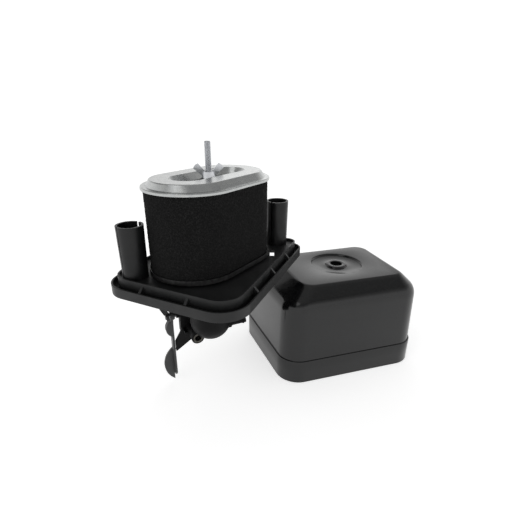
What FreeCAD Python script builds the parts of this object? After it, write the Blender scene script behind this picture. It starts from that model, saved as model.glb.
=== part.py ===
import FreeCAD, Part
import math
import os
from FreeCAD import Vector

# Air filter housing of a small engine, in millimetres, +Z up. Everything is laid out about
# the centre stud: X runs along the carburettor flange, Y along its bore towards the
# carburettor, and Z = 0 is the tray's floor, where the filter seals. finish() then moves each
# piece so that the origin is the centre of the flange's face.

# ---- tray: rounded four-sided pan with a double rim, turned about the stud ----------------
TRAY_TURN = -50.0
TRAY_CORNERS = [(-59.4, -72.0), (61.4, -72.0), (53.3, 89.1), (-59.4, 78.6)]
TRAY_RADII = [17.2, 19.3, 9.9, 17.6]
FLOOR = 3.0
INNER_WALL = 1.6
INNER_TOP = 2.4
OUTER_WALL_IN, OUTER_WALL_OUT = 4.6, 6.1      # out from the tray's outline
OUTER_TOP, OUTER_BOTTOM = -4.4, -13.1
GROOVE_TOP, GROOVE_BOTTOM = -10.0, -12.0
RIB_THICKNESS = 2.4
RIBS = [(0, 0.30), (0, 0.67), (1, 0.25), (1, 0.50), (1, 0.75), (2, 0.35), (2, 0.68),
        (3, 0.25), (3, 0.50), (3, 0.75)]      # (side, how far along it)
DRAIN = (42.5, 44.5, 4.4, 16.0, 23.4)         # slot: centre, width, length, turn; tray axes

# ---- inlet tubes, tray axes ---------------------------------------------------------------
LEFT_TUBE = (-41.4, -58.7)
RIGHT_TUBE = (34.6, 74.7)
TUBE_TOP = 46.5
TUBE_BOTTOM = -6.0
TUBE_R_TOP, TUBE_R_FOOT = 11.4, 10.65
TUBE_WALL = 1.9
TUBE_SOCKET_R = 10.62
TUBE_PLUG_R = 10.6

# ---- filter element -----------------------------------------------------------------------
ELEMENT_TURN = 31.1
LID = (127.7, 81.4)
LID_BOTTOM, LID_EDGE_TOP = 75.0, 77.5
DOME_FOOT, DOME_HEAD = (119.0, 75.0), (114.0, 63.0)
DOME_TOP = 82.8
RECESS_HEAD, RECESS_FOOT = (84.0, 31.0), (77.0, 24.0)
RECESS_FLOOR = 76.6
SHEET = 0.8
FOAM = (124.0, 79.0)
FOAM_WALL = 6.0
PAPER_DEPTH = 13.0
FOLDS = 58
CORE_WALL = 1.0
CUP = (126.0, 82.4)
CUP_BOTTOM, CUP_TOP = 2.2, 6.2
SEAL = (106.0, 64.0)
SEAL_WALL = 7.0
SEAL_BOTTOM = 0.3

# ---- stud, grommet, washer and wing nut ---------------------------------------------------
STUD_R = 3.0
STUD_TOP, STUD_BOTTOM = 109.8, -13.0
FREE_END = 93.4                               # thread above the wing nut
RELIEF_R, RELIEF = 2.5, 2.5                   # run-out groove below the free end
GROMMET_R = 8.5
GROMMET_TOP = 77.8
WASHER_R = 6.6
WASHER_BOTTOM, WASHER_TOP = 77.9, 78.8
NUT_BASE, NUT_TOP = 78.9, 84.5
NUT_BORE_R = 3.05
NUT_R_BASE, NUT_R_TOP = 6.2, 4.8
WING_TURN = -13.5
WING_ROOT, WING_TIP = (3.2, 81.2), (11.0, 89.4)   # (distance from the axis, height)
WING_HALF, WING_CROWN = 2.9, 0.7
WING_THICKNESS = 1.9

# ---- elbow --------------------------------------------------------------------------------
PIPE = (-6.8, -6.0)
PIPE_R_OUT, PIPE_R_IN = 20.0, 16.5
AXIS_Z = -62.5
BEND_Z = -58.8                               # centre of the rounded bend
RUN_START, BORE_START = 0.0, 2.5
BORE_X, BORE_R = 0.0, 14.0
FLANGE = (-33.0, 27.5, -87.0, -31.0)          # left, right, bottom, top
FLANGE_FRONT, FLANGE_FACE = 14.0, 22.0
FLANGE_CORNER_R = 8.0
BOLT_DX, BOLT_DZ = 21.5, 13.2                 # bolts at -, - and +, + from the bore's axis
BOSS_R = 6.4
BOSS_FRONTS = {-1: -9.0, 1: 14.0}             # lower and upper
SLEEVE_R_OUT, SLEEVE_R_IN = 4.9, 3.3
PLATE = (76.0, 52.0)
PLATE_TOP, PLATE_BOTTOM = -4.0, -8.0
SCREW_ALONG, SCREW_ASIDE = 27.0, 9.0
SCREW_R, SCREW_HEAD_R, SCREW_HEAD = 1.9, 4.0, 2.0
SCREW_END = -11.0
HUB_R, HUB_BOTTOM = 6.8, -14.0
INSERT_R, INSERT_BOTTOM, INSERT_TOP = 4.6, -13.0, -1.0
SPOKE_WIDTH, SPOKE_BOTTOM = 3.0, -9.0
NIPPLE_Y, NIPPLE_Z = -8.0, -67.5
NIPPLE_R, NIPPLE_BARB_R, NIPPLE_HOLE_R = 3.0, 3.75, 1.5
NIPPLE_END = 29.5

# ---- choke lever and its bracket ----------------------------------------------------------
PIN_Y, PIN_Z = 18.5, -60.5
PIN_R, PIN_CLEARANCE = 2.0, 0.06
PIN_HEAD_R = 3.2
PIN_START, PIN_END = -46.8, -29.0
EAR_BOSS = (-45.8, -43.2)
EAR_THICKNESS = 4.0
LUG_START, LUG_R = -36.0, 3.5
ARM_Y = (14.2, 18.0)
HUB_X = (-42.2, -38.9)
HUB_LEVER_R = 4.5
BAR_X = (-42.2, -39.9)
BAR_Y = (16.0, 24.5)
BAR_BOTTOM = -133.0
TAB_Y = (22.0, 24.5)
TAB_TIP_X, TAB_TOP, TAB_BOTTOM = -52.0, -100.0, -141.5
BULGE_TIP_X, BULGE_TOP, BULGE_BOTTOM = -47.6, -65.0, -86.0

# ---- cover, in its own axes: the tray's axes with its hole as origin ------------------------
COVER_PLACE = (158.4, 16.9, -144.9)
COVER_TURN = TRAY_TURN + 131.56
BAND_OUT, BAND_IN = 8.0, 6.4                  # out from the tray's outline
BAND_TOP = 27.4
LEDGE = 6.0
LEDGE_IN = 4.4
DRAFT = 1.4
SHOULDER, COVER_TOP = 93.0, 109.1
COVER_WALL = 2.0
TOP_CORNERS = [(-50.0, -60.0), (46.0, -60.0), (43.0, 66.0), (-50.0, 62.0)]
TOP_RADII = [12.0, 14.0, 14.0, 16.0]
DISH_R, DISH_DEPTH = 30.0, 2.5
RING_R_FOOT, RING_R_HEAD, COVER_HOLE_R = 12.6, 11.4, 6.9

ORIGIN = Vector(BORE_X, FLANGE_FACE, AXIS_Z)


# ---- helpers ------------------------------------------------------------------------------
def unit(x, y):
    length = math.hypot(x, y)
    return x / length, y / length


def corner_directions(corners, i):
    """Unit vectors from corner i to its two neighbours, their bisector and half angle."""
    px, py = corners[i]
    ax, ay = unit(corners[i - 1][0] - px, corners[i - 1][1] - py)
    nx, ny = corners[(i + 1) % len(corners)]
    bx, by = unit(nx - px, ny - py)
    sx, sy = unit(ax + bx, ay + by)
    return (ax, ay), (bx, by), (sx, sy), math.acos(ax * bx + ay * by) / 2


def offset_corners(corners, distance):
    moved = []
    for i, (px, py) in enumerate(corners):
        _, _, (sx, sy), half = corner_directions(corners, i)
        reach = distance / math.sin(half)
        moved.append((px - sx * reach, py - sy * reach))
    return moved


def rounded_polygon(corners, radii, z):
    stops = []
    for i, (px, py) in enumerate(corners):
        (ax, ay), (bx, by), (sx, sy), half = corner_directions(corners, i)
        back = radii[i] / math.tan(half)
        mid = radii[i] / math.sin(half) - radii[i]
        stops.append((Vector(px + ax * back, py + ay * back, z),
                      Vector(px + sx * mid, py + sy * mid, z),
                      Vector(px + bx * back, py + by * back, z)))
    edges = []
    for i, (start, mid, end) in enumerate(stops):
        edges.append(Part.Arc(start, mid, end).toShape())
        edges.append(Part.LineSegment(end, stops[(i + 1) % len(stops)][0]).toShape())
    return Part.Wire(edges)


def tray_outline(out, z):
    """The tray's outline moved out by a distance, in the tray's own axes."""
    return rounded_polygon(offset_corners(TRAY_CORNERS, out), [r + out for r in TRAY_RADII], z)


def racetrack(size, z):
    r, c = size[1] / 2, (size[0] - size[1]) / 2
    right = Part.Arc(Vector(c, -r, z), Vector(c + r, 0, z), Vector(c, r, z)).toShape()
    back = Part.LineSegment(Vector(c, r, z), Vector(-c, r, z)).toShape()
    left = Part.Arc(Vector(-c, r, z), Vector(-c - r, 0, z), Vector(-c, -r, z)).toShape()
    front = Part.LineSegment(Vector(-c, -r, z), Vector(c, -r, z)).toShape()
    return Part.Wire([right, back, left, front])


def grow(size, amount):
    return size[0] + 2 * amount, size[1] + 2 * amount


def track_slab(size, bottom, top):
    return Part.Face(racetrack(size, bottom)).extrude(Vector(0, 0, top - bottom))


def loft(foot, head):
    return Part.makeLoft([foot, head], True, True)


def outline_slab(out, bottom, top):
    return Part.Face(tray_outline(out, bottom)).extrude(Vector(0, 0, top - bottom))


def rod(r, x, y, bottom, top):
    return Part.makeCylinder(r, top - bottom, Vector(x, y, bottom))


def rod_x(r, start, end, y, z):
    return Part.makeCylinder(r, end - start, Vector(start, y, z), Vector(1, 0, 0))


def rod_y(r, start, end, x, z):
    return Part.makeCylinder(r, end - start, Vector(x, start, z), Vector(0, 1, 0))


def box(x0, x1, y0, y1, z0, z1):
    return Part.makeBox(x1 - x0, y1 - y0, z1 - z0, Vector(x0, y0, z0))


def turn(shape, angle):
    shape.rotate(Vector(0, 0, 0), Vector(0, 0, 1), angle)
    return shape


def turned_point(x, y, angle):
    a = math.radians(angle)
    return x * math.cos(a) - y * math.sin(a), x * math.sin(a) + y * math.cos(a)


def largest_edges(shape, z, radius):
    """Round the edges that lie at one height."""
    edges = [e for e in shape.Edges
             if abs(e.BoundBox.ZMin - z) < 1e-4 and abs(e.BoundBox.ZMax - z) < 1e-4]
    return shape.makeFillet(radius, edges)


def finish(name, shape):
    shape.translate(Vector(0, 0, 0) - ORIGIN)
    shape.exportStep("parts/%s.step" % name)


# ---- base ---------------------------------------------------------------------------------
def screw_places():
    places = []
    for along in (-SCREW_ALONG, SCREW_ALONG):
        for aside in (-SCREW_ASIDE, SCREW_ASIDE):
            dx, dy = turned_point(along, aside, ELEMENT_TURN)
            places.append((PIPE[0] + dx, PIPE[1] + dy))
    return places


def elbow_plate(size, bottom, top):
    plate = turn(track_slab(size, bottom, top), ELEMENT_TURN)
    plate.translate(Vector(PIPE[0], PIPE[1], 0))
    return plate


def rib(side, along):
    """Rib across the rim's groove, sloping down from the inner wall to the outer one."""
    x0, y0 = TRAY_CORNERS[side]
    x1, y1 = TRAY_CORNERS[(side + 1) % 4]
    dx, dy = unit(x1 - x0, y1 - y0)
    cx, cy = x0 + (x1 - x0) * along, y0 + (y1 - y0) * along
    profile = [(-0.5, GROOVE_TOP - 0.5), (OUTER_WALL_IN + 0.5, GROOVE_TOP - 0.5),
               (OUTER_WALL_IN + 0.5, OUTER_TOP - 1.2), (-0.5, 0.4)]
    half = RIB_THICKNESS / 2
    corners = [Vector(cx + dy * out - dx * half, cy - dx * out - dy * half, z)
               for out, z in profile]
    face = Part.Face(Part.makePolygon(corners + corners[:1]))
    return face.extrude(Vector(dx * RIB_THICKNESS, dy * RIB_THICKNESS, 0))


def spokes():
    """Three spokes and a hub that hold the stud across the outlet."""
    arms = []
    for angle in (90.0, 210.0, 330.0):
        arm = box(0, 40, -SPOKE_WIDTH / 2, SPOKE_WIDTH / 2, SPOKE_BOTTOM, 0)
        arms.append(turn(arm, angle))
    star = rod(HUB_R, 0, 0, HUB_BOTTOM, 0).fuse(arms)
    throat = rod(PIPE_R_IN - 0.5, PIPE[0], PIPE[1], HUB_BOTTOM, 0)
    rim = rod(PIPE_R_IN + 1.0, PIPE[0], PIPE[1], -FLOOR, 0)
    star = star.common(throat.fuse(rim))
    return star.cut(rod(INSERT_R, 0, 0, HUB_BOTTOM - 1, INSERT_TOP)).cut(
        rod(STUD_R + 0.1, 0, 0, HUB_BOTTOM, 1))


def choke_ear():
    """Curved web under the tray that carries the outer end of the choke pin."""
    y0 = PIN_Y - EAR_THICKNESS / 2
    left, right = EAR_BOSS
    outer = Part.Arc(Vector(-58, y0, -2.0), Vector(-56, y0, -38), Vector(left, y0, PIN_Z - 1))
    inner = Part.Arc(Vector(right, y0, PIN_Z + 1), Vector(-46.5, y0, -34),
                     Vector(-43, y0, -2.0))
    foot = Part.LineSegment(Vector(left, y0, PIN_Z - 1), Vector(right, y0, PIN_Z + 1))
    head = Part.LineSegment(Vector(-43, y0, -2.0), Vector(-58, y0, -2.0))
    wire = Part.Wire([outer.toShape(), foot.toShape(), inner.toShape(), head.toShape()])
    web = Part.Face(wire).extrude(Vector(0, EAR_THICKNESS, 0))
    boss = rod_x(4.4, EAR_BOSS[0], EAR_BOSS[1], PIN_Y, PIN_Z)
    ear = web.fuse(boss).cut(rod_x(PIN_R, -60, -40, PIN_Y, PIN_Z))
    return ear.cut(rod_x(PIN_HEAD_R + 0.3, -60, left, PIN_Y, PIN_Z))


def base_tray():
    floor = outline_slab(-INNER_WALL / 2, -FLOOR, 0)
    inner = outline_slab(0, GROOVE_BOTTOM, INNER_TOP).cut(
        outline_slab(-INNER_WALL, GROOVE_BOTTOM - 1, INNER_TOP + 1))
    groove = outline_slab(OUTER_WALL_IN + 0.5, GROOVE_BOTTOM, GROOVE_TOP).cut(
        outline_slab(-0.5, GROOVE_BOTTOM - 1, GROOVE_TOP + 1))
    outer = outline_slab(OUTER_WALL_OUT, OUTER_BOTTOM, OUTER_TOP).cut(
        outline_slab(OUTER_WALL_IN, OUTER_BOTTOM - 1, OUTER_TOP + 1))
    tray = floor.fuse([inner, groove, outer] + [rib(side, at) for side, at in RIBS])
    for x, y in (LEFT_TUBE, RIGHT_TUBE):
        tray = tray.cut(rod(TUBE_SOCKET_R, x, y, -FLOOR - 1, 1))
    x, y, width, length, angle = DRAIN
    slot = turn(box(-width / 2, width / 2, -length / 2, length / 2, -FLOOR - 1, 1), angle)
    slot.translate(Vector(x, y, 0))
    tray = turn(tray.cut(slot), TRAY_TURN)
    tray = tray.cut(rod(PIPE_R_IN, PIPE[0], PIPE[1], -FLOOR - 1, 1))
    for x, y in screw_places():
        tray = tray.cut(rod(SCREW_R + 0.4, x, y, -FLOOR - 1, 1))
    return tray.fuse([spokes(), choke_ear()]).removeSplitter()


def inlet_tube(place, slits):
    """Tapered tube that springs into the floor; each slit is (angle, width, bottom, depth)."""
    bore_foot, bore_top = TUBE_R_FOOT - TUBE_WALL, TUBE_R_TOP - TUBE_WALL
    wall = Part.makeCone(TUBE_R_FOOT + 0.05, TUBE_R_TOP, TUBE_TOP)
    plug = rod(TUBE_PLUG_R, 0, 0, TUBE_BOTTOM, 0)
    bead = rod(TUBE_PLUG_R + 0.7, 0, 0, -FLOOR - 1.8, -FLOOR - 0.3)
    tube = wall.fuse([plug, bead]).cut(Part.makeCone(bore_foot, bore_top, TUBE_TOP))
    tube = tube.cut(rod(bore_foot, 0, 0, TUBE_BOTTOM - 1, 0))
    for angle, width, bottom, depth in slits:
        cutter = box(TUBE_R_FOOT - depth, 14, -width / 2, width / 2, bottom, TUBE_TOP + 1)
        tube = tube.cut(turn(cutter, angle))
    tube.translate(Vector(place[0], place[1], 0))
    return turn(tube, TRAY_TURN)


def intake_elbow():
    """Pipe down from the tray, a rounded bend and the flange for the carburettor."""
    px, py = PIPE
    left, right, bottom, top = FLANGE
    outline = rounded_polygon([(left, bottom), (right, bottom), (right, top), (left, top)],
                              [FLANGE_CORNER_R] * 4, 0)
    plate = Part.Face(outline).extrude(Vector(0, 0, FLANGE_FACE - FLANGE_FRONT))
    plate.rotate(Vector(0, 0, 0), Vector(1, 0, 0), 90)
    plate.translate(Vector(0, FLANGE_FACE, 0))
    body = [rod(PIPE_R_OUT, px, py, BEND_Z, PLATE_TOP),
            Part.makeSphere(PIPE_R_OUT, Vector(px, py, BEND_Z)),
            rod_y(BORE_R + 4, RUN_START, FLANGE_FACE, BORE_X, AXIS_Z), plate]
    for sign in (-1, 1):
        body.append(rod_y(BOSS_R, BOSS_FRONTS[sign], FLANGE_FACE, BORE_X + sign * BOLT_DX,
                          AXIS_Z + sign * BOLT_DZ))
    body.append(box(BORE_X - BOLT_DX - 2.5, BORE_X - BOLT_DX + 2.5, BOSS_FRONTS[-1] + 0.6,
                    FLANGE_FRONT + 1, AXIS_Z - BOLT_DZ, top))
    for z in (AXIS_Z - 14, AXIS_Z + 14):
        body.append(box(left + 2, px, FLANGE_FRONT - 9, FLANGE_FRONT + 1, z - 1.2, z + 1.2))
    body.append(rod_x(4.6, px, px + PIPE_R_OUT, NIPPLE_Y, NIPPLE_Z))
    body.append(rod_x(NIPPLE_R, px, NIPPLE_END, NIPPLE_Y, NIPPLE_Z))
    body.append(Part.makeCone(NIPPLE_BARB_R, NIPPLE_R - 0.4, 3.2,
                              Vector(NIPPLE_END - 3.2, NIPPLE_Y, NIPPLE_Z), Vector(1, 0, 0)))
    body.append(lower_arm())
    body.append(rod_x(LUG_R, LUG_START, left + 6, PIN_Y, PIN_Z))
    elbow = elbow_plate(PLATE, PLATE_BOTTOM, PLATE_TOP).fuse(body)
    elbow = elbow.cut(rod(PIPE_R_IN, px, py, BEND_Z, PLATE_TOP + 1))
    elbow = elbow.cut(Part.makeSphere(PIPE_R_IN, Vector(px, py, BEND_Z)))
    elbow = elbow.cut(rod_y(BORE_R, BORE_START, FLANGE_FACE + 1, BORE_X, AXIS_Z))
    elbow = elbow.cut(rod_x(NIPPLE_HOLE_R, px + PIPE_R_IN - 8, NIPPLE_END + 1, NIPPLE_Y,
                            NIPPLE_Z))
    for sign in (-1, 1):
        elbow = elbow.cut(rod_y(SLEEVE_R_OUT, BOSS_FRONTS[sign] - 1, FLANGE_FACE + 1,
                                BORE_X + sign * BOLT_DX, AXIS_Z + sign * BOLT_DZ))
    for x, y in screw_places():
        elbow = elbow.cut(rod(SCREW_R, x, y, PLATE_BOTTOM - 1, PLATE_TOP + 1))
    return elbow.cut(rod_x(PIN_R, LUG_START - 1, PIN_END, PIN_Y, PIN_Z))


def lower_arm():
    """Diagonal arm from the flange that backs the choke lever."""
    corners = [(-28.0, -76.0), (-33.0, -79.5), (-39.4, -90.5), (-39.4, -101.5), (-20.0, -89.0)]
    points = [Vector(x, ARM_Y[0], z) for x, z in corners]
    face = Part.Face(Part.makePolygon(points + points[:1]))
    return face.extrude(Vector(0, ARM_Y[1] - ARM_Y[0], 0))


def elbow_gasket():
    gasket = elbow_plate(grow(PLATE, -0.5), PLATE_TOP, -FLOOR)
    gasket = gasket.cut(rod(PIPE_R_IN, PIPE[0], PIPE[1], PLATE_TOP - 1, 0))
    for x, y in screw_places():
        gasket = gasket.cut(rod(SCREW_R + 0.4, x, y, PLATE_TOP - 1, 0))
    return gasket


def elbow_screws():
    """Four pan-head screws with a cross recess."""
    screws = []
    for x, y in screw_places():
        screw = rod(SCREW_R, x, y, SCREW_END, 0).fuse(rod(SCREW_HEAD_R, x, y, 0, SCREW_HEAD))
        cross = box(x - 0.5, x + 0.5, y - 2.2, y + 2.2, SCREW_HEAD - 1.1, SCREW_HEAD + 1)
        cross = cross.fuse(box(x - 2.2, x + 2.2, y - 0.5, y + 0.5, SCREW_HEAD - 1.1,
                               SCREW_HEAD + 1))
        screws.append(screw.cut(cross))
    return Part.makeCompound(screws)


def mounting_sleeves():
    sleeves = []
    for sign in (-1, 1):
        x, z = BORE_X + sign * BOLT_DX, AXIS_Z + sign * BOLT_DZ
        front = BOSS_FRONTS[sign] - 0.6
        outer = rod_y(SLEEVE_R_OUT, front, FLANGE_FACE, x, z)
        sleeves.append(outer.cut(rod_y(SLEEVE_R_IN, front - 1, FLANGE_FACE + 1, x, z)))
    return Part.makeCompound(sleeves)


def carburettor_gasket():
    """Oval gasket that lies on the flange's face."""
    y0, y1 = FLANGE_FACE, FLANGE_FACE + 1.0
    gasket = rod_y(BORE_R + 4, y0, y1, BORE_X, AXIS_Z)
    for sign in (-1, 1):
        gasket = gasket.fuse(rod_y(6.0, y0, y1, BORE_X + sign * BOLT_DX,
                                   AXIS_Z + sign * BOLT_DZ))
    gasket = gasket.cut(rod_y(BORE_R + 0.5, y0 - 1, y1 + 1, BORE_X, AXIS_Z))
    for sign in (-1, 1):
        gasket = gasket.cut(rod_y(SLEEVE_R_IN + 0.2, y0 - 1, y1 + 1, BORE_X + sign * BOLT_DX,
                                  AXIS_Z + sign * BOLT_DZ))
    return gasket


def filter_stud():
    point = 0.8
    shank = rod(STUD_R, 0, 0, STUD_BOTTOM, STUD_TOP - point)
    relief = rod(STUD_R + 1, 0, 0, FREE_END - RELIEF, FREE_END).cut(
        rod(RELIEF_R, 0, 0, FREE_END - RELIEF, FREE_END))
    return shank.cut(relief).fuse(Part.makeCone(STUD_R, STUD_R - point, point,
                                                Vector(0, 0, STUD_TOP - point)))


def stud_insert():
    return rod(INSERT_R, 0, 0, INSERT_BOTTOM, INSERT_TOP).cut(
        rod(STUD_R, 0, 0, INSERT_BOTTOM - 1, INSERT_TOP + 1))


def choke_pivot_pin():
    """Headed pin with a groove for its clip."""
    pin = rod_x(PIN_R, PIN_START, PIN_END, PIN_Y, PIN_Z)
    pin = pin.fuse(rod_x(PIN_HEAD_R, PIN_START, EAR_BOSS[0], PIN_Y, PIN_Z))
    groove = rod_x(PIN_R + 1, -38.6, -37.9, PIN_Y, PIN_Z).cut(
        rod_x(PIN_R - 0.5, -38.6, -37.9, PIN_Y, PIN_Z))
    return pin.cut(groove)


def pivot_washer():
    return rod_x(3.4, EAR_BOSS[1], EAR_BOSS[1] + 0.6, PIN_Y, PIN_Z).cut(
        rod_x(PIN_R, EAR_BOSS[1] - 1, EAR_BOSS[1] + 2, PIN_Y, PIN_Z))


def pivot_clip():
    clip = rod_x(4.0, -38.55, -37.95, PIN_Y, PIN_Z).cut(
        rod_x(PIN_R - 0.5, -39, -37, PIN_Y, PIN_Z))
    return clip.cut(box(-39, -37, PIN_Y - 1.2, PIN_Y + 1.2, PIN_Z - 5, PIN_Z))


def choke_lever():
    """Hub, flat bar, domed boss on its outer face and a D-shaped thumb tab."""
    x0, x1 = BAR_X
    hub = rod_x(HUB_LEVER_R, HUB_X[0], HUB_X[1], PIN_Y, PIN_Z)
    front, back = BAR_Y
    outline = [(14.0, PIN_Z), (23.0, PIN_Z), (back, -71.0), (back, BAR_BOTTOM),
               (front + 2, BAR_BOTTOM), (front, BAR_BOTTOM + 3), (front, -71.0)]
    points = [Vector(x0, y, z) for y, z in outline]
    bar = Part.Face(Part.makePolygon(points + points[:1])).extrude(Vector(x1 - x0, 0, 0))
    middle = Vector(BULGE_TIP_X, front, (BULGE_TOP + BULGE_BOTTOM) / 2)
    swell = Part.Arc(Vector(x1, front, BULGE_TOP), middle, Vector(x1, front, BULGE_BOTTOM))
    chord = Part.LineSegment(Vector(x1, front, BULGE_BOTTOM), Vector(x1, front, BULGE_TOP))
    dome = Part.Face(Part.Wire([swell.toShape(), chord.toShape()])).extrude(
        Vector(0, back - front, 0))
    dome = dome.makeFillet(2.0, [e for e in dome.Edges if e.Curve.TypeId == "Part::GeomCircle"])
    y0, y1 = TAB_Y
    bow = Part.Arc(Vector(x1, y0, TAB_TOP), Vector(TAB_TIP_X, y0, (TAB_TOP + TAB_BOTTOM) / 2),
                   Vector(x0, y0, TAB_BOTTOM))
    edge = [Part.LineSegment(Vector(x0, y0, TAB_BOTTOM), Vector(x0, y0, BAR_BOTTOM - 0.5)),
            Part.LineSegment(Vector(x0, y0, BAR_BOTTOM - 0.5), Vector(x1, y0, BAR_BOTTOM)),
            Part.LineSegment(Vector(x1, y0, BAR_BOTTOM), Vector(x1, y0, TAB_TOP))]
    wire = Part.Wire([bow.toShape()] + [line.toShape() for line in edge])
    tab = Part.Face(wire).extrude(Vector(0, y1 - y0, 0))
    lever = hub.fuse([bar, dome, tab])
    return lever.cut(rod_x(PIN_R + PIN_CLEARANCE, -60, -30, PIN_Y, PIN_Z)).removeSplitter()


# ---- filter -------------------------------------------------------------------------------
def place_filter(shape):
    return turn(shape, ELEMENT_TURN)


def filter_top_plate():
    """Pressed lid: rolled edge, dome and a long recess for the wing nut."""
    edge = track_slab(LID, LID_BOTTOM, LID_EDGE_TOP)
    edge = largest_edges(edge, LID_EDGE_TOP, 1.1)
    dome = loft(racetrack(DOME_FOOT, LID_EDGE_TOP - 0.5), racetrack(DOME_HEAD, DOME_TOP))
    dome = largest_edges(dome, DOME_TOP, 1.2)
    under = track_slab(grow(LID, -SHEET), LID_BOTTOM - 1, LID_EDGE_TOP - SHEET)
    attic = loft(racetrack(grow(DOME_FOOT, -SHEET - 0.3), LID_EDGE_TOP - SHEET - 0.2),
                 racetrack(grow(DOME_HEAD, -SHEET - 0.3), DOME_TOP - SHEET))
    lid = edge.fuse(dome).cut(under).cut(attic)
    tub = loft(racetrack(grow(RECESS_FOOT, SHEET), RECESS_FLOOR - SHEET),
               racetrack(grow(RECESS_HEAD, SHEET), DOME_TOP - 0.3))
    well = loft(racetrack(RECESS_FOOT, RECESS_FLOOR), racetrack(RECESS_HEAD, DOME_TOP + 0.01))
    lid = lid.fuse(tub).cut(well)
    return place_filter(lid.cut(rod(STUD_R + 2.0, 0, 0, 70, 90)).removeSplitter())


def filter_bottom_plate():
    hollow = grow(FOAM, -FOAM_WALL - PAPER_DEPTH - CORE_WALL)
    cup = track_slab(CUP, CUP_BOTTOM, CUP_TOP).cut(
        track_slab(grow(CUP, -SHEET), CUP_BOTTOM + SHEET, CUP_TOP + 1))
    return place_filter(cup.cut(track_slab(hollow, 0, 10)))


def sleeve(size, wall, bottom, top):
    ring = track_slab(size, bottom, top).cut(track_slab(grow(size, -wall), bottom - 1, top + 1))
    return place_filter(ring)


def folded_line(size, outer_depth, inner_depth, z):
    """Zigzag wire round a racetrack, between two depths inside it."""
    r, c = size[1] / 2, (size[0] - size[1]) / 2
    straight, arc = 2 * c, math.pi * r
    total = 2 * (straight + arc)
    points = []
    for i in range(2 * FOLDS):
        s = total * i / (2 * FOLDS)
        depth = outer_depth if i % 2 == 0 else inner_depth
        side, s = divmod(s, straight + arc)
        flip = 1 - 2 * side
        if s < straight:
            x, y = c - s, r - depth
        else:
            a = math.pi / 2 + (s - straight) / r
            x, y = -c + (r - depth) * math.cos(a), (r - depth) * math.sin(a)
        points.append(Vector(flip * x, flip * y, z))
    return Part.makePolygon(points + points[:1])


def paper_element():
    """Pleated paper: one folded sheet all round, glued between the plates."""
    size = grow(FOAM, -FOAM_WALL - 0.3)
    depth, fold = PAPER_DEPTH - 0.6, 3.0
    bottom, top = CUP_BOTTOM + SHEET, LID_BOTTOM + 0.5
    outside = Part.Face(folded_line(size, 0, depth - fold, bottom))
    inside = Part.Face(folded_line(size, fold, depth, bottom))
    return place_filter(outside.cut(inside).extrude(Vector(0, 0, top - bottom)))


def stud_grommet():
    """Rubber grommet in the lid's hole, lipped above and below the sheet."""
    neck = rod(STUD_R + 2.0, 0, 0, RECESS_FLOOR - SHEET, RECESS_FLOOR)
    upper = rod(GROMMET_R, 0, 0, RECESS_FLOOR, GROMMET_TOP)
    lower = rod(GROMMET_R - 1, 0, 0, RECESS_FLOOR - SHEET - 1.5, RECESS_FLOOR - SHEET)
    return neck.fuse([upper, lower]).cut(rod(STUD_R + 0.3, 0, 0, 70, 90)).removeSplitter()


def nut_washer():
    return rod(WASHER_R, 0, 0, WASHER_BOTTOM, WASHER_TOP).cut(rod(STUD_R + 0.3, 0, 0, 70, 90))


def wing_nut():
    body = Part.makeCone(NUT_R_BASE, NUT_R_TOP, NUT_TOP - NUT_BASE, Vector(0, 0, NUT_BASE))
    (r0, z0), (r1, z1) = WING_ROOT, WING_TIP
    dr, dz = unit(r1 - r0, z1 - z0)
    for angle in (0, 180):
        y0 = -WING_THICKNESS / 2
        low = Vector(r1 + dz * WING_HALF, y0, z1 - dr * WING_HALF)
        high = Vector(r1 - dz * WING_HALF, y0, z1 + dr * WING_HALF)
        tip = Vector(r1 + dr * WING_CROWN, y0, z1 + dz * WING_CROWN)
        root_low = Vector(r0 + 1.0, y0, z0 - 2.0)
        root_high = Vector(r0 - 1.6, y0, z0 + 2.2)
        wire = Part.Wire([Part.LineSegment(root_low, low).toShape(),
                          Part.Arc(low, tip, high).toShape(),
                          Part.LineSegment(high, root_high).toShape(),
                          Part.LineSegment(root_high, root_low).toShape()])
        wing = Part.Face(wire).extrude(Vector(0, WING_THICKNESS, 0))
        body = body.fuse(turn(wing, angle))
    body = body.cut(rod(NUT_BORE_R, 0, 0, 70, 120)).removeSplitter()
    return turn(body, WING_TURN)


# ---- cover --------------------------------------------------------------------------------
def top_outline(inset, z):
    return rounded_polygon(offset_corners(TOP_CORNERS, -inset), [r - inset for r in TOP_RADII],
                           z)


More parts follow.
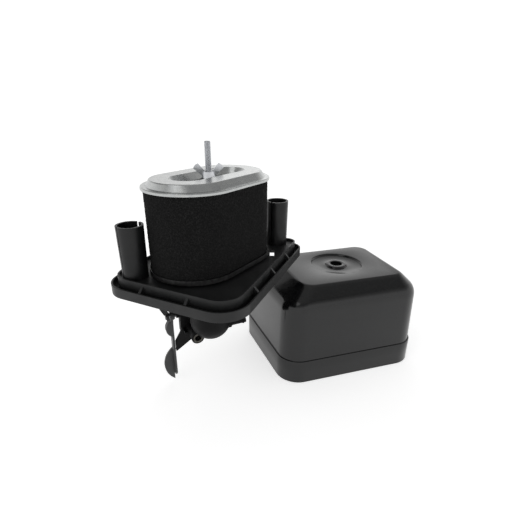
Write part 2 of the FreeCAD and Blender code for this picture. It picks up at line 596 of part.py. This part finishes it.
def cover_shell():
    """Deep cover with a proud band, a broad chamfer and a round dish about its hole."""
    band = outline_slab(BAND_OUT, 0, BAND_TOP)
    band = largest_edges(band, BAND_TOP, 1.2)
    crown = loft(tray_outline(BAND_IN - DRAFT, SHOULDER), top_outline(0, COVER_TOP))
    crown = largest_edges(crown, COVER_TOP, 1.5)
    wall = loft(tray_outline(BAND_IN, BAND_TOP - 2), tray_outline(BAND_IN - DRAFT, SHOULDER))
    shell = band.fuse([wall, crown])
    mouth = outline_slab(BAND_IN, -1, LEDGE)
    room = loft(tray_outline(LEDGE_IN, LEDGE - 0.5),
                tray_outline(LEDGE_IN - DRAFT, SHOULDER - 1))
    attic = loft(tray_outline(LEDGE_IN - DRAFT, SHOULDER - 1),
                 top_outline(1.2, COVER_TOP - COVER_WALL))
    shell = shell.cut(mouth).cut(room).cut(attic)
    floor = COVER_TOP - DISH_DEPTH
    shell = shell.fuse(rod(DISH_R + COVER_WALL, 0, 0, floor - COVER_WALL, COVER_TOP - 0.5))
    shell = shell.cut(Part.makeCone(DISH_R - 1, DISH_R, DISH_DEPTH + 0.01, Vector(0, 0, floor)))
    ring = Part.makeCone(RING_R_FOOT, RING_R_HEAD, DISH_DEPTH - 0.5, Vector(0, 0, floor))
    shell = shell.fuse(ring).cut(rod(COVER_HOLE_R, 0, 0, 90, 120)).removeSplitter()
    shell = turn(shell, COVER_TURN)
    shell.translate(Vector(COVER_PLACE[0], COVER_PLACE[1], COVER_PLACE[2]))
    return shell


# ---- all pieces ---------------------------------------------------------------------------
def main():
    os.makedirs("parts", exist_ok=True)
    finish("base_tray", base_tray())
    finish("inlet_tube_left", inlet_tube(LEFT_TUBE, [(91.0, 2.9, 34.0, 6.0),
                                                     (-107.0, 1.0, 4.0, 0.1)]))
    finish("inlet_tube_right", inlet_tube(RIGHT_TUBE, [(-100.0, 2.0, 3.0, 6.0)]))
    finish("intake_elbow", intake_elbow())
    finish("elbow_gasket", elbow_gasket())
    finish("elbow_screws", elbow_screws())
    finish("mounting_sleeves", mounting_sleeves())
    finish("carburettor_gasket", carburettor_gasket())
    finish("filter_stud", filter_stud())
    finish("stud_insert", stud_insert())
    finish("choke_pivot_pin", choke_pivot_pin())
    finish("pivot_washer", pivot_washer())
    finish("pivot_clip", pivot_clip())
    finish("choke_lever", choke_lever())
    finish("filter_top_plate", filter_top_plate())
    finish("filter_bottom_plate", filter_bottom_plate())
    foam_bottom, foam_top = CUP_BOTTOM + SHEET, LID_EDGE_TOP - SHEET
    finish("foam_sleeve", sleeve(FOAM, FOAM_WALL, foam_bottom, foam_top))
    finish("paper_element", paper_element())
    core = grow(FOAM, -FOAM_WALL - PAPER_DEPTH)
    finish("inner_core", sleeve(core, CORE_WALL, foam_bottom, LID_BOTTOM + 0.5))
    finish("filter_seal", sleeve(SEAL, SEAL_WALL, SEAL_BOTTOM, CUP_BOTTOM))
    finish("stud_grommet", stud_grommet())
    finish("nut_washer", nut_washer())
    finish("wing_nut", wing_nut())
    finish("cover_shell", cover_shell())


main()
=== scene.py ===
import bpy
import bmesh
import math
from mathutils import Matrix, Vector, noise


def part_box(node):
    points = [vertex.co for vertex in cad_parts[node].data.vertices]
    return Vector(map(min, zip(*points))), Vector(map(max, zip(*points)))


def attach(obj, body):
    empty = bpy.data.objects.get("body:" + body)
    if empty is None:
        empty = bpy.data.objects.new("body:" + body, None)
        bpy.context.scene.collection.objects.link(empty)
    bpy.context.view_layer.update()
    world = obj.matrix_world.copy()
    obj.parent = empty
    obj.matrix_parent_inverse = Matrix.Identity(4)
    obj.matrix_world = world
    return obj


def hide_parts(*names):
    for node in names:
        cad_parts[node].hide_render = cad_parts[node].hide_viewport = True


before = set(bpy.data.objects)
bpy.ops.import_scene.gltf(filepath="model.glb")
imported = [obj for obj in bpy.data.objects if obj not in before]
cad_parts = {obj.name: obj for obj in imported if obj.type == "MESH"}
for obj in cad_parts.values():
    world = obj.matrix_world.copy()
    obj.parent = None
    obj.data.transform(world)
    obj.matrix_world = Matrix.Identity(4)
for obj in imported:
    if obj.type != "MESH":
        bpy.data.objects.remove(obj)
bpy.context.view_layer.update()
MM = 0.001

# Places in the CAD frame, in millimetres
STUD_X, STUD_Y, SEAT_Z = 0.0, -22.0, 62.5
ELEMENT_TURN = math.radians(31.1)
CAMERA = (-99.77, -342.91, 200.6)
FORWARD = (0.39689, 0.83210, -0.3875)
ROLL = math.radians(0.52)
LENS = 25.75

# Soft and turned pieces, heights above the filter's seat
FOAM_SIZE, SEAL_SIZE = (124.0, 79.0), (106.0, 64.0)
FOAM_LOW, FOAM_HIGH, FOAM_WALL = 3.05, 76.6, 5.9
FOAM_INSET, FOAM_ROUND = 0.15, 1.4
FOAM_ROWS, FOAM_AROUND = 110, 560

# Cover: offsets from the tray's outline and heights above its foot
BAND_OUT, STEP_OUT, SHOULDER_OUT = 8.0, 6.4, 5.0
BAND_TOP, SHOULDER, CROWN = 27.4, 93.0, 109.1
HOLE_R = 6.9

# Lights, in metres: place, target, width, power
KEY = ((-0.9, -0.5, 1.2), (0.05, 0.0, 0.0), 0.9, 2.0)
BACK = ((0.8, 1.2, 0.9), (0.1, 0.0, 0.0), 1.2, 1.5)
FLOOR_SIZE = 12.0

# Surroundings: (height on the unit sphere, brightness)
SKY = [(0.26, 1.1), (0.42, 0.62), (0.62, 0.3), (1.0, 0.5)]
FLOOR_GLOW = 0.6

# The cover's outline in its own axes: the tray's rounded polygon, moved out by an offset
TRAY_CORNERS = [(-59.4, -72.0), (61.4, -72.0), (53.3, 89.1), (-59.4, 78.6)]
TRAY_RADII = [17.2, 19.3, 9.9, 17.6]
TOP_CORNERS = [(-50.0, -60.0), (46.0, -60.0), (43.0, 66.0), (-50.0, 62.0)]
TOP_RADII = [12.0, 14.0, 14.0, 16.0]
COVER_PLACE = (158.4, -5.1, -82.4)
COVER_TURN = math.radians(81.56)


# ---- materials ----------------------------------------------------------------------------
def material(name, base, rough, metallic=0.0, ior=1.5):
    """Empty principled material with the constants on its sockets."""
    mat = bpy.data.materials.new(name)
    mat.use_nodes = True
    shader = mat.node_tree.nodes["Principled BSDF"]
    shader.inputs["Base Color"].default_value = (*base, 1.0)
    shader.inputs["Roughness"].default_value = rough
    shader.inputs["Metallic"].default_value = metallic
    shader.inputs["IOR"].default_value = ior
    return mat, shader


def texture(mat, kind, scale, **settings):
    """Procedural texture in object coordinates."""
    tree = mat.node_tree
    coords = tree.nodes.new("ShaderNodeTexCoord")
    tex = tree.nodes.new(kind)
    tree.links.new(coords.outputs["Object"], tex.inputs["Vector"])
    tex.inputs["Scale"].default_value = scale
    for key, value in settings.items():
        tex.inputs[key].default_value = value
    return tex


def ramp(mat, source, stops):
    """Colour ramp on a source; stops are (place, colour)."""
    node = mat.node_tree.nodes.new("ShaderNodeValToRGB")
    elements = node.color_ramp.elements
    while len(elements) < len(stops):
        elements.new(0.5)
    for element, (place, colour) in zip(elements, stops):
        element.position = place
        element.color = (*colour, 1.0) if len(colour) == 3 else colour
    mat.node_tree.links.new(source, node.inputs["Fac"])
    return node.outputs["Color"]


def grey(value):
    return (value, value, value)


def bump(mat, shader, source, strength, distance, edge=0.0):
    """Bump from a height, with an optional rounded look at the edges."""
    tree = mat.node_tree
    node = tree.nodes.new("ShaderNodeBump")
    node.inputs["Strength"].default_value = strength
    node.inputs["Distance"].default_value = distance * MM
    tree.links.new(source, node.inputs["Height"])
    if edge:
        rounded = tree.nodes.new("ShaderNodeBevel")
        rounded.samples = 4
        rounded.inputs["Radius"].default_value = edge * MM
        tree.links.new(rounded.outputs["Normal"], node.inputs["Normal"])
    tree.links.new(node.outputs["Normal"], shader.inputs["Normal"])


def moulded_plastic(name, low, high, rough, grain, shine=0.3, edge=0.5):
    """Moulded black plastic: fine grain, faint flow mottling and worn patches."""
    mat, shader = material(name, low, rough)
    shader.inputs["Specular IOR Level"].default_value = shine
    links = mat.node_tree.links
    mottle = texture(mat, "ShaderNodeTexNoise", 38.0, Detail=5.0, Roughness=0.6)
    links.new(ramp(mat, mottle.outputs["Fac"], [(0.32, low), (0.7, high)]),
              shader.inputs["Base Color"])
    wear = texture(mat, "ShaderNodeTexNoise", 120.0, Detail=4.0)
    links.new(ramp(mat, wear.outputs["Fac"], [(0.3, grey(rough - 0.08)), (0.7, grey(rough + 0.1))]),
              shader.inputs["Roughness"])
    fine = texture(mat, "ShaderNodeTexNoise", 2600.0, Detail=2.0)
    bump(mat, shader, fine.outputs["Fac"], grain, 0.05, edge)
    return mat


def gloss_plastic():
    """Glossy black cover with faint scuffs and a slight ripple."""
    mat, shader = material("gloss_black", (0.004, 0.0042, 0.0045), 0.1, ior=1.47)
    links = mat.node_tree.links
    scuff = texture(mat, "ShaderNodeTexNoise", 55.0, Detail=8.0, Roughness=0.72, Distortion=0.6)
    links.new(ramp(mat, scuff.outputs["Fac"], [(0.4, grey(0.12)), (0.62, grey(0.2)),
                                                (0.74, grey(0.32))]),
              shader.inputs["Roughness"])
    dust = texture(mat, "ShaderNodeTexNoise", 420.0, Detail=4.0)
    links.new(ramp(mat, dust.outputs["Fac"], [(0.45, (0.003, 0.0032, 0.0035)),
                                              (0.8, (0.009, 0.009, 0.009))]),
              shader.inputs["Base Color"])
    ripple = texture(mat, "ShaderNodeTexNoise", 22.0, Detail=1.0)
    bump(mat, shader, ripple.outputs["Fac"], 0.12, 0.5, 0.6)
    return mat


def metal(name, low, high, rough, scale, edge=0.3):
    """Plated or galvanised steel: crystal patches and fine rolling marks."""
    mat, shader = material(name, low, rough, metallic=1.0)
    links = mat.node_tree.links
    cells = texture(mat, "ShaderNodeTexVoronoi", scale)
    links.new(ramp(mat, cells.outputs["Color"], [(0.2, low), (0.85, high)]),
              shader.inputs["Base Color"])
    haze = texture(mat, "ShaderNodeTexNoise", scale * 1.7, Detail=6.0)
    links.new(ramp(mat, haze.outputs["Fac"], [(0.3, grey(rough - 0.05)), (0.75, grey(rough + 0.06))]),
              shader.inputs["Roughness"])
    fine = texture(mat, "ShaderNodeTexNoise", 1500.0, Detail=3.0)
    bump(mat, shader, fine.outputs["Fac"], 0.06, 0.03, edge)
    return mat


def open_foam():
    """Open-cell foam: pores darkened by painted shade between slightly lighter strands."""
    mat, shader = material("foam", (0.02, 0.02, 0.02), 0.95)
    shader.inputs["Specular IOR Level"].default_value = 0.08
    links = mat.node_tree.links
    pores = texture(mat, "ShaderNodeTexVoronoi", 1150.0)
    # Painted shade: the base colour darkens towards each cell's centre, where the bump sinks into a
    # pore.
    links.new(ramp(mat, pores.outputs["Distance"], [(0.12, grey(0.003)), (0.5, grey(0.008)),
                                                    (0.9, grey(0.018))]),
              shader.inputs["Base Color"])
    bump(mat, shader, pores.outputs["Distance"], 0.8, 0.35)
    return mat


def fibre(name, low, high, scale):
    """Paper or rubber-bound sheet with a fibrous mottle."""
    mat, shader = material(name, low, 0.85)
    links = mat.node_tree.links
    strands = texture(mat, "ShaderNodeTexNoise", scale, Detail=8.0, Distortion=1.2)
    links.new(ramp(mat, strands.outputs["Fac"], [(0.3, low), (0.72, high)]),
              shader.inputs["Base Color"])
    bump(mat, shader, strands.outputs["Fac"], 0.4, 0.1)
    return mat


def paint(obj, mat):
    obj.data.materials.clear()
    obj.data.materials.append(mat)


# ---- meshes -------------------------------------------------------------------------------
def new_mesh(name, vertices, faces, mat, smooth=True):
    data = bpy.data.meshes.new(name)
    data.from_pydata([tuple(c * MM for c in v) for v in vertices], [], faces)
    data.update()
    for polygon in data.polygons:
        polygon.use_smooth = smooth
    obj = bpy.data.objects.new(name, data)
    bpy.context.collection.objects.link(obj)
    paint(obj, mat)
    return obj


def grid_faces(rings, around):
    """Quads between successive closed rings, then from the last ring back to the first."""
    faces = []
    for i in range(rings):
        low, high = i * around, ((i + 1) % rings) * around
        for j in range(around):
            k = (j + 1) % around
            faces.append((low + j, low + k, high + k, high + j))
    return faces


def track_point(length, width, t):
    """Point and outward direction at a fraction t round a racetrack about the stud."""
    r, c = width / 2, (length - width) / 2
    straight, arc = 2 * c, math.pi * r
    s = (t % 1.0) * 2 * (straight + arc)
    side = 1 if s < straight + arc else -1
    s -= 0 if side == 1 else straight + arc
    if s < straight:
        x, y, nx, ny = c - s, r, 0.0, 1.0
    else:
        a = math.pi / 2 + (s - straight) / r
        nx, ny = math.cos(a), math.sin(a)
        x, y = -c + r * nx, r * ny
    cos, sin = math.cos(ELEMENT_TURN), math.sin(ELEMENT_TURN)
    x, y, nx, ny = side * x, side * y, side * nx, side * ny
    return (STUD_X + x * cos - y * sin, STUD_Y + x * sin + y * cos,
            nx * cos - ny * sin, nx * sin + ny * cos)


def track_ring(name, size, profile, around, mat, roughness=0.0):
    """Ring of a closed (inset, height) profile swept round a racetrack."""
    vertices = []
    for inset, z in profile:
        for j in range(around):
            x, y, nx, ny = track_point(size[0], size[1], j / around)
            px, py = x - nx * inset, y - ny * inset
            shift = roughness * (noise.noise(Vector((px, py, z)) * 0.55) - 0.5)
            shift += roughness * 0.8 * (noise.noise(Vector((px, py, z)) * 1.9) - 0.5)
            vertices.append((px + nx * shift, py + ny * shift, z + SEAT_Z))
    return new_mesh(name, vertices, grid_faces(len(profile), around), mat)


def foam_sleeve(mat):
    """Foam wrapped round the element, with a slightly uneven surface."""
    low, high, corner = FOAM_LOW, FOAM_HIGH, FOAM_ROUND
    profile = [(corner, low), (0.35, low + 0.5)]
    profile += [(FOAM_INSET, low + corner + (high - low - 2 * corner) * i / FOAM_ROWS)
                for i in range(FOAM_ROWS + 1)]
    profile += [(0.35, high - 0.5), (corner, high), (FOAM_WALL, high), (FOAM_WALL, low)]
    foam = track_ring("foam_wrap", FOAM_SIZE, profile, FOAM_AROUND, mat, 0.3)
    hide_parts("foam_sleeve")
    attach(foam, "filter")


def seal_ring(mat):
    """Soft seal under the filter, flattened where it touches the floor and the cup."""
    profile = []
    for i in range(16):
        a = 2 * math.pi * i / 16
        profile.append((3.5 + 3.4 * math.cos(a), 1.25 + 0.9 * max(-1, min(1, 1.4 * math.sin(a)))))
    seal = track_ring("base_seal", SEAL_SIZE, profile, 200, mat, 0.05)
    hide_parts("filter_seal")
    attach(seal, "filter")


def lathe(name, profile, around, mat):
    """Solid of revolution about the stud from a closed (radius, height) profile."""
    vertices = []
    for r, z in profile:
        for j in range(around):
            a = 2 * math.pi * j / around
            vertices.append((STUD_X + r * math.cos(a), STUD_Y + r * math.sin(a), z + SEAT_Z))
    return new_mesh(name, vertices, grid_faces(len(profile), around), mat)


def rubber_grommet(mat):
    """Grommet that grips the edge of the lid's hole."""
    profile = [(3.4, 74.5), (3.4, 77.75), (7.7, 77.8), (8.3, 77.6), (8.5, 77.2), (8.4, 76.75),
               (8.1, 76.62), (4.9, 76.6), (4.9, 75.8), (7.2, 75.8), (7.5, 75.4), (7.3, 74.6),
               (6.9, 74.4)]
    grommet = lathe("lid_grommet", profile, 64, mat)
    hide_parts("stud_grommet")
    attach(grommet, "filter")


def threaded_stud(mat):
    """Plain shank with a one millimetre thread above; the CAD stud's groove isn't drawn."""
    around, pitch, major, minor = 40, 1.0, 2.98, 2.42
    bottom, top, thread_from, tip = -12.95, 109.75, 70.0, 0.9
    heights = [bottom, thread_from - 1.0]
    steps = int((top - thread_from) / (pitch / 10))
    heights += [thread_from + (top - thread_from) * i / steps for i in range(steps + 1)]
    vertices = []
    for z in heights:
        for j in range(around):
            phase = (z / pitch - j / around) % 1.0
            wave = min(1.0, max(0.0, 1.25 * (1 - abs(2 * phase - 1)) - 0.12))
            r = minor + (major - minor) * wave if z >= thread_from else 2.9
            r = min(r, major - max(0.0, z - (top - tip)))
            a = 2 * math.pi * j / around
            vertices.append((STUD_X + r * math.cos(a), STUD_Y + r * math.sin(a), z + SEAT_Z))
    faces = []
    for i in range(len(heights) - 1):
        for j in range(around):
            k = (j + 1) % around
            faces.append((i * around + j, i * around + k, (i + 1) * around + k,
                          (i + 1) * around + j))
    faces.append(tuple(reversed(range(around))))
    last = (len(heights) - 1) * around
    faces.append(tuple(range(last, last + around)))
    stud = new_mesh("stud_threaded", vertices, faces, mat)
    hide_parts("filter_stud")
    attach(stud, "base")


def offset_corners(corners, distance):
    """Corners of a convex polygon with every side moved out by a distance."""
    moved = []
    for i, (px, py) in enumerate(corners):
        here = Vector((px, py))
        a = (Vector(corners[i - 1]) - here).normalized()
        b = (Vector(corners[(i + 1) % 4]) - here).normalized()
        moved.append(here - (a + b).normalized() * distance / math.sin(a.angle(b) / 2))
    return moved


def outline(corners, radii, out, per_arc=20, per_side=12):
    """Points round a rounded polygon moved out by an offset, the same number for any size."""
    moved = offset_corners(corners, out)
    arcs = []
    for i, here in enumerate(moved):
        a = (moved[i - 1] - here).normalized()
        b = (moved[(i + 1) % 4] - here).normalized()
        half, r = a.angle(b) / 2, radii[i] + out
        centre = here + (a + b).normalized() * r / math.sin(half)
        start = here + a * r / math.tan(half) - centre
        sweep = math.pi - 2 * half
        arcs.append([centre + Matrix.Rotation(sweep * k / per_arc, 2) @ start
                     for k in range(per_arc + 1)])
    points = []
    for i, arc in enumerate(arcs):
        following = arcs[(i + 1) % 4][0]
        points += arc
        points += [arc[-1].lerp(following, k / per_side) for k in range(1, per_side)]
    return points


def at_height(points, z):
    return [Vector((p.x, p.y, z)) for p in points]


def circle_ring(guide, r, z):
    """Circle about the hole whose points face those of another ring."""
    ring = []
    for p in guide:
        d = Vector((p.x, p.y)).normalized()
        ring.append(Vector((d.x * r, d.y * r, z)))
    return ring


def rounded_turn(before, corner, after, reach_in, reach_out, steps=9):
    """Rings that turn smoothly at a corner ring between two others."""
    rings = []
    for k in range(steps + 1):
        t = k / steps
        ring = []
        for a, b, c in zip(before, corner, after):
            start = b + (a - b).normalized() * reach_in
            end = b + (c - b).normalized() * reach_out
            ring.append(start * (1 - t) ** 2 + b * 2 * t * (1 - t) + end * t ** 2)
        rings.append(ring)
    return rings


def cover_skin(mat):
    """Whole cover as one closed skin, outside then inside, with moulded radii."""
    def wall(out, z):
        return at_height(outline(TRAY_CORNERS, TRAY_RADII, out), z)

    def top(inset, z):
        return at_height(outline(TOP_CORNERS, TOP_RADII, -inset), z)

    shoulder, crown, middle = wall(SHOULDER_OUT, SHOULDER), top(0.0, CROWN), top(5.0, CROWN)
    step, foot = wall(STEP_OUT, BAND_TOP), wall(BAND_OUT, 0.0)
    rings = [wall(7.5, 0.0), wall(BAND_OUT, 0.5), wall(BAND_OUT, 14.0), wall(7.98, 26.2),
             wall(7.6, 27.15), wall(6.9, BAND_TOP)]
    rings += rounded_turn(wall(6.9, BAND_TOP), step, shoulder, 0.4, 0.8, 3)
    rings += [wall(6.0, 46.0), wall(5.7, 60.0)]
    rings += rounded_turn(step, shoulder, crown, 9.0, 8.0, 12)
    rings += rounded_turn(shoulder, crown, middle, 3.5, 3.0, 8)
    guide = top(5.0, CROWN)
    for r, z in ((31.2, CROWN), (30.4, 108.95), (29.8, 108.4), (29.2, 107.0), (28.4, 106.6),
                 (14.0, 106.6), (12.9, 106.75), (12.4, 107.4), (12.0, 108.3), (11.3, 108.6),
                 (7.6, 108.6), (7.0, 108.3), (HOLE_R, 107.6), (HOLE_R, 104.6), (31.9, 104.6),
                 (32.0, 107.1)):
        rings.append(circle_ring(guide, r, z))
    rings += [top(1.4, 107.1), wall(3.0, 92.0), wall(4.4, 6.0), wall(6.4, 6.0), wall(6.4, 0.0)]
    around = len(foot)
    place = Matrix.Translation(Vector(COVER_PLACE)) @ Matrix.Rotation(COVER_TURN, 4, "Z")
    vertices = [tuple(place @ p) for ring in rings for p in ring]
    skin = new_mesh("cover_skin", vertices, grid_faces(len(rings), around), mat)
    skin.data.set_sharp_from_angle(angle=math.radians(32))
    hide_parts("cover_shell")
    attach(skin, "cover")


# ---- stage --------------------------------------------------------------------------------
def area_light(name, place, target, size, power):
    data = bpy.data.lights.new(name, "AREA")
    data.shape, data.size, data.energy = "DISK", size, power
    lamp = bpy.data.objects.new(name, data)
    lamp.location = place
    lamp.rotation_euler = (Vector(target) - Vector(place)).to_track_quat("-Z", "Y").to_euler()
    bpy.context.collection.objects.link(lamp)


def studio():
    """Pale floor under the cover, graded surroundings and two soft lights."""
    low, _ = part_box("cover_shell")
    bpy.ops.mesh.primitive_plane_add(size=FLOOR_SIZE, location=(0, 0, low.z))
    floor = bpy.context.object
    floor.name = "studio_floor"
    mat, shader = material("floor_white", (0.86, 0.86, 0.86), 0.9)
    shader.inputs["Specular IOR Level"].default_value = 0.0
    shader.inputs["Emission Color"].default_value = (1.0, 1.0, 1.0, 1.0)
    shader.inputs["Emission Strength"].default_value = FLOOR_GLOW
    paint(floor, mat)
    world = bpy.data.worlds.new("studio")
    bpy.context.scene.world = world
    world.use_nodes = True
    tree = world.node_tree
    background = tree.nodes["Background"]
    background.inputs["Strength"].default_value = 1.0
    coords = tree.nodes.new("ShaderNodeTexCoord")
    split = tree.nodes.new("ShaderNodeSeparateXYZ")
    shade = tree.nodes.new("ShaderNodeValToRGB")
    tree.links.new(coords.outputs["Generated"], split.inputs["Vector"])
    tree.links.new(split.outputs["Z"], shade.inputs["Fac"])
    tree.links.new(shade.outputs["Color"], background.inputs["Color"])
    elements = shade.color_ramp.elements
    while len(elements) < len(SKY):
        elements.new(0.5)
    for element, (place, value) in zip(elements, SKY):
        element.position = place
        element.color = (value, value, value, 1.0)
    area_light("key", *KEY)
    area_light("back", *BACK)


def camera():
    """Camera of the main view."""
    data = bpy.data.cameras.new("photo_view")
    data.lens, data.sensor_width = LENS, 36.0
    data.dof.use_dof = False
    cam = bpy.data.objects.new("photo_view", data)
    forward = Vector(FORWARD).normalized()
    level = forward.cross(Vector((0, 0, 1))).normalized()
    above = level.cross(forward)
    right = level * math.cos(ROLL) + above * math.sin(ROLL)
    up = right.cross(forward)
    axes = Matrix((right, up, -forward)).transposed().to_4x4()
    cam.matrix_world = Matrix.Translation(Vector(CAMERA) * MM) @ axes
    bpy.context.collection.objects.link(cam)
    bpy.context.scene.camera = cam


# ---- the object ---------------------------------------------------------------------------
def main():
    satin = moulded_plastic("satin_black", (0.008, 0.0082, 0.0084), (0.016, 0.0163, 0.0166),
                            0.44, 0.25)
    tube = moulded_plastic("tube_black", (0.004, 0.0042, 0.0045), (0.009, 0.0092, 0.0096),
                           0.38, 0.2)
    # Painted light: the lever is black plastic like the tray, given a lighter base colour to stand
    # for the light on its broad lit face.
    lever = moulded_plastic("lever_black_painted_light", (0.016, 0.0163, 0.0166), (0.03, 0.0303, 0.0306),
                            0.4, 0.3, 0.5)
    gloss = gloss_plastic()
    lid = metal("galvanised_sheet", (0.43, 0.44, 0.44), (0.48, 0.49, 0.48), 0.28, 260.0)
    rim = metal("rim_steel", (0.05, 0.05, 0.05), (0.08, 0.08, 0.08), 0.45, 350.0)
    zinc = metal("zinc_plate", (0.52, 0.53, 0.55), (0.58, 0.59, 0.61), 0.18, 300.0)
    # Painted shade: the sleeves' steel is made dark to stand for the shade in the recess of each
    # plastic boss.
    sleeve = metal("sleeve_steel_painted_shade", (0.06, 0.057, 0.05), (0.1, 0.095, 0.085), 0.42, 500.0)
    elbow = moulded_plastic("elbow_black", (0.0025, 0.0025, 0.0026), (0.005, 0.005, 0.0052),
                             0.5, 0.3, 0.12)
    dark = metal("dark_washer", (0.05, 0.05, 0.05), (0.11, 0.11, 0.11), 0.4, 420.0)
    brass = metal("turned_brass", (0.55, 0.40, 0.17), (0.72, 0.54, 0.26), 0.28, 500.0)
    foam = open_foam()
    rubber = fibre("rubber", (0.012, 0.012, 0.012), (0.03, 0.03, 0.03), 700.0)
    paper = fibre("filter_paper", (0.55, 0.49, 0.34), (0.78, 0.73, 0.58), 600.0)
    gasket = fibre("gasket_sheet", (0.07, 0.065, 0.06), (0.15, 0.14, 0.12), 900.0)
    finishes = {"base_tray": satin, "inlet_tube_left": tube, "inlet_tube_right": tube,
                "intake_elbow": elbow, "elbow_gasket": gasket, "elbow_screws": zinc,
                "mounting_sleeves": sleeve, "carburettor_gasket": gasket, "filter_stud": zinc,
                "stud_insert": brass, "choke_pivot_pin": dark, "pivot_washer": zinc,
                "pivot_clip": dark, "choke_lever": lever, "filter_top_plate": lid,
                "filter_bottom_plate": rim, "foam_sleeve": foam, "paper_element": paper,
                "inner_core": rim, "filter_seal": foam, "stud_grommet": rubber,
                "nut_washer": dark, "wing_nut": zinc, "cover_shell": gloss}
    for name, mat in finishes.items():
        paint(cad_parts[name], mat)
    foam_sleeve(foam)
    seal_ring(foam)
    rubber_grommet(rubber)
    threaded_stud(zinc)
    cover_skin(gloss)
    studio()
    camera()
    scene = bpy.context.scene
    scene.view_settings.view_transform = "Standard"
    scene.view_settings.exposure = 0.0


main()
